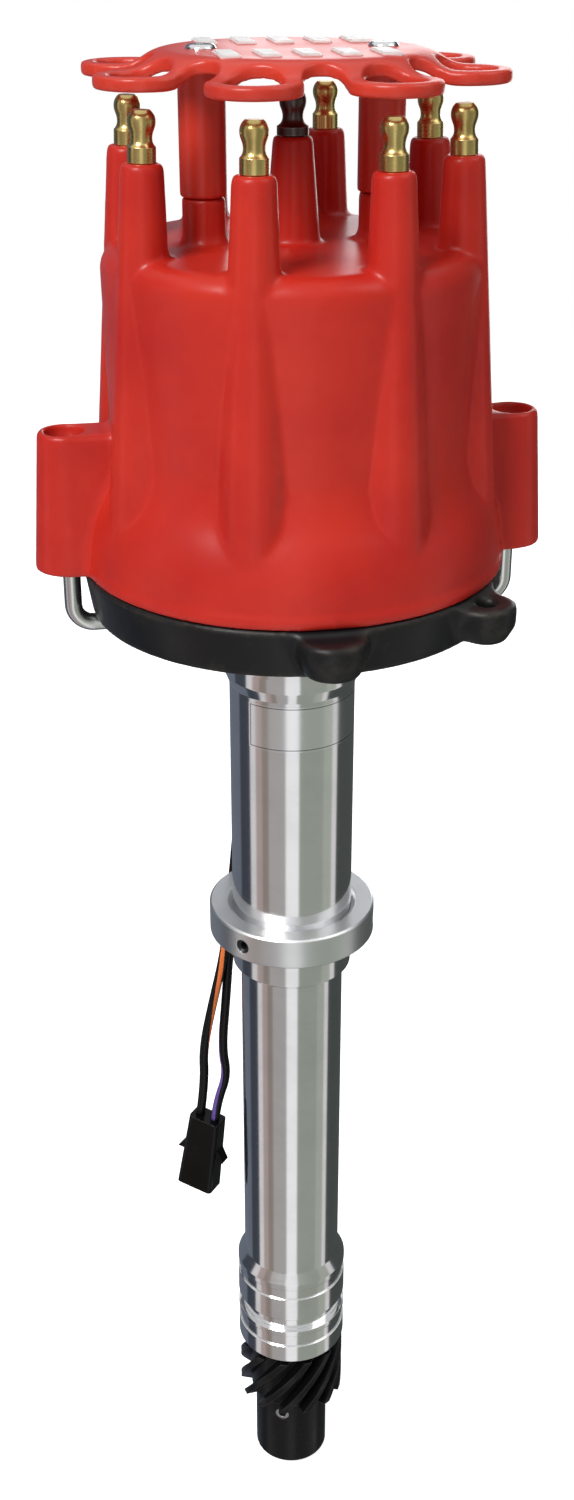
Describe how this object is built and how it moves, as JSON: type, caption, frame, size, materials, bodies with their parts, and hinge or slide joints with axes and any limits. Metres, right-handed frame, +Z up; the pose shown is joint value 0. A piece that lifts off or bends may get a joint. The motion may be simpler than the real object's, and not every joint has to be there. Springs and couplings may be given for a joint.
{
  "type": "ignition distributor",
  "caption": "Long-shaft ignition distributor with a towered cap, wire retainer, helical drive gear, slip collar and two wire leads.",
  "frame": {"origin": "on the shaft's axis, at the middle of the wide pilot land that centres the housing in the engine block", "axes": "+Z up the shaft to the cap, +X through the two latch ears, -Y to the lug at the front"},
  "size_m": [0.1266, 0.1112, 0.4206],
  "materials": {
    "turned_aluminium": "satin turned",
    "black_steel": "black oxide",
    "black_base": "satin black, scuffed",
    "zinc_steel": "zinc plated",
    "black_rubber": "matte",
    "bronze": "sintered",
    "ground_steel": "ground",
    "black_gear": "black oxide, oiled",
    "red_fibre": "pressed fibre",
    "red_cap": "satin moulded",
    "brass": "turned",
    "carbon": "pressed carbon",
    "spring_steel": "drawn wire",
    "plated_rod": "bright plated",
    "red_retainer": "satin moulded",
    "chrome_screw": "polished",
    "coil_black": "potted",
    "lead_insulation": "extruded",
    "black_connector": "moulded"
  },
  "bodies": {
    "housing_assembly": {"housing": "turned_aluminium", "lower_bushing": "bronze", "bearing_outer_race": "ground_steel", "base_ring": "black_base", "base_screws": "zinc_steel", "lead_grommet": "black_rubber", "cap": "red_cap", "cap_terminals": "brass", "centre_terminal": "black_steel", "carbon_button": "carbon", "button_spring": "spring_steel", "wire_retainer": "red_retainer", "retainer_screws": "chrome_screw", "pickup_plate": "zinc_steel", "pickup_pole": "zinc_steel", "pickup_coil": "coil_black", "pickup_screws": "zinc_steel", "striped_lead_orange": "lead_insulation", "striped_lead_violet": "lead_insulation", "lead_connector": "black_connector", "connector_pins": "brass"},
    "shaft_assembly": {"shaft": "ground_steel", "shaft_snap_ring": "black_steel", "bearing_inner_race": "ground_steel", "bearing_balls": "ground_steel", "drive_gear": "black_gear", "roll_pin": "black_steel", "thrust_washer": "red_fibre", "advance_cam": "ground_steel"},
    "advance_carrier": {"weight_carrier": "zinc_steel", "weight_pins": "ground_steel", "reluctor": "ground_steel", "rotor": "red_retainer", "rotor_screws": "zinc_steel", "rotor_blade": "brass"},
    "weight_one": {"advance_weight_one": "zinc_steel"},
    "weight_two": {"advance_weight_two": "zinc_steel"},
    "collar": {"slip_collar": "turned_aluminium", "collar_set_screws": "black_steel"},
    "right_latch_press": {"latch_washer_right": "zinc_steel", "latch_spring_right": "spring_steel"},
    "right_latch_rod": {"latch_rod_right": "plated_rod"},
    "left_latch_press": {"latch_washer_left": "zinc_steel", "latch_spring_left": "spring_steel"},
    "left_latch_rod": {"latch_rod_left": "plated_rod"}
  },
  "joints": [
    {"name": "shaft_spin", "type": "hinge", "parent": "housing_assembly", "child": "shaft_assembly", "pos_m": [0, 0, 0], "axis": [0, 0, 1], "continuous": true},
    {"name": "advance_turn", "type": "hinge", "parent": "shaft_assembly", "child": "advance_carrier", "pos_m": [0, 0, 0.24], "axis": [0, 0, 1], "range_deg": [0, 12], "stiffness_Nm_per_rad": 0.12, "springref_deg": -5.73},
    {"name": "weight_one_swing", "type": "hinge", "parent": "advance_carrier", "child": "weight_one", "pos_m": [0.01966, 0.01377, 0.2476], "axis": [0, 0, -1], "range_deg": [0, 18]},
    {"name": "weight_two_swing", "type": "hinge", "parent": "advance_carrier", "child": "weight_two", "pos_m": [-0.01966, -0.01377, 0.2476], "axis": [0, 0, -1], "range_deg": [0, 18]},
    {"name": "collar_slide", "type": "slide", "parent": "housing_assembly", "child": "collar", "axis": [0, 0, 1], "range_m": [-0.009, 0.058]},
    {"name": "right_latch_push", "type": "slide", "parent": "housing_assembly", "child": "right_latch_press", "axis": [0, 0, -1], "range_m": [0, 0.003], "stiffness_N_per_m": 1500, "springref_m": -0.006, "deforming": ["latch_spring_right"]},
    {"name": "right_latch_turn", "type": "hinge", "parent": "right_latch_press", "child": "right_latch_rod", "pos_m": [0.0547, 0, 0.25], "axis": [0, 0, 1], "range_deg": [0, 180]},
    {"name": "left_latch_push", "type": "slide", "parent": "housing_assembly", "child": "left_latch_press", "axis": [0, 0, -1], "range_m": [0, 0.003], "stiffness_N_per_m": 1500, "springref_m": -0.006, "deforming": ["latch_spring_left"]},
    {"name": "left_latch_turn", "type": "hinge", "parent": "left_latch_press", "child": "left_latch_rod", "pos_m": [-0.0547, 0, 0.25], "axis": [0, 0, 1], "range_deg": [0, 180]}
  ],
  "couplings": [
    {"joint": "weight_one_swing", "follows": "advance_turn", "ratio": 1.5},
    {"joint": "weight_two_swing", "follows": "advance_turn", "ratio": 1.5}
  ]
}
